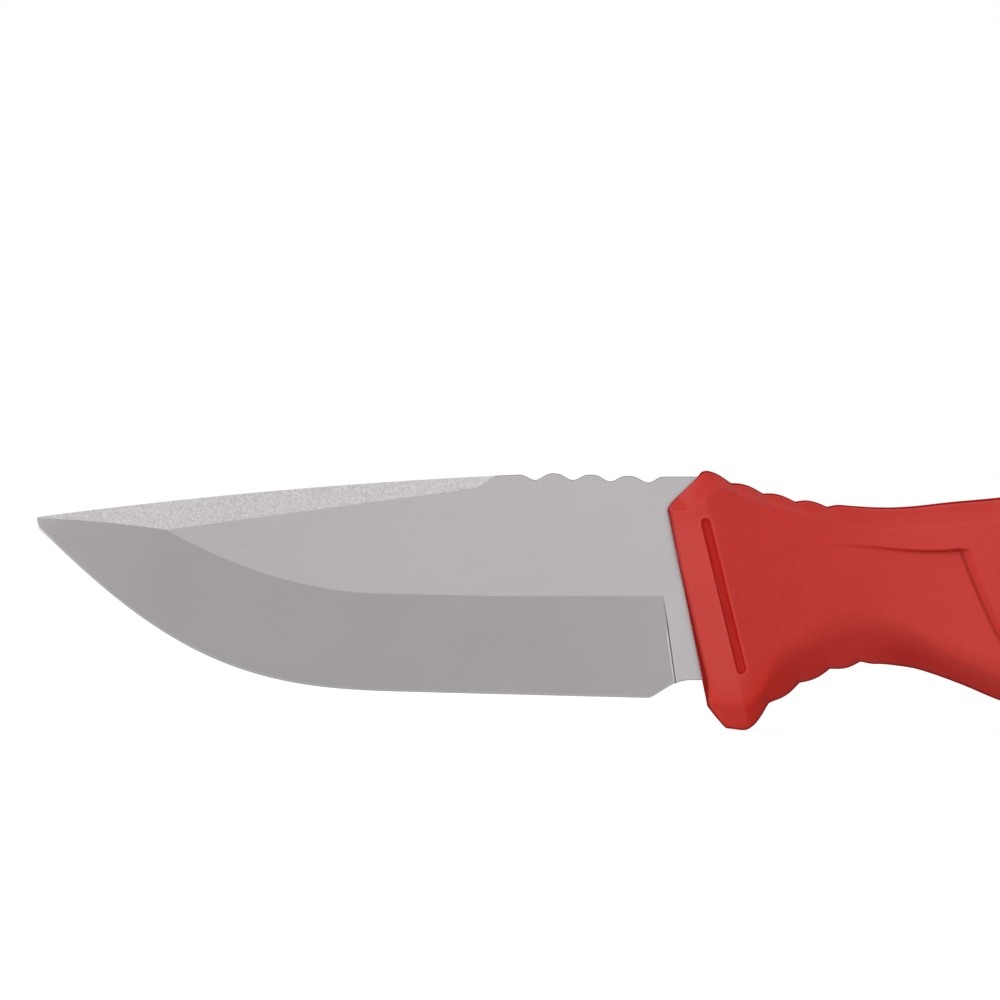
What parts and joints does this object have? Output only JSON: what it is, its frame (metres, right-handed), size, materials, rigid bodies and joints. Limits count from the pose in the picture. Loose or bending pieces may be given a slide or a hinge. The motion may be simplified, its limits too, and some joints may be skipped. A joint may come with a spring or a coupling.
{
  "type": "rigging knife",
  "caption": "Fixed-blade rigging knife with a drop-point blade, a false edge and thumb notches, and a guarded soft grip with a lanyard eye at its butt.",
  "frame": {"origin": "on the blade's middle plane, where the guard's front face crosses the handle's axis", "axes": "+X along the handle towards the butt, so the tip is at the -X end; +Z from the cutting edge to the spine; Y across the thickness, with the knife's left side at -Y"},
  "size_m": [0.2151, 0.0236, 0.0389],
  "materials": {
    "blade_steel": "fine satin, ground lengthwise on the flats and across on the grind",
    "grip_rubber": "matt red elastomer with a fine moulded grain and smoother edges",
    "core_nylon": "as moulded",
    "rivet_steel": "turned",
    "eye_steel": "polished"
  },
  "bodies": {
    "root": {"blade": "blade_steel", "core_left": "core_nylon", "core_right": "core_nylon", "front_rivet": "rivet_steel", "middle_rivet": "rivet_steel", "rear_rivet": "rivet_steel", "grip": "grip_rubber", "lanyard_sleeve": "eye_steel", "lanyard_washer": "eye_steel"}
  },
  "joints": []
}
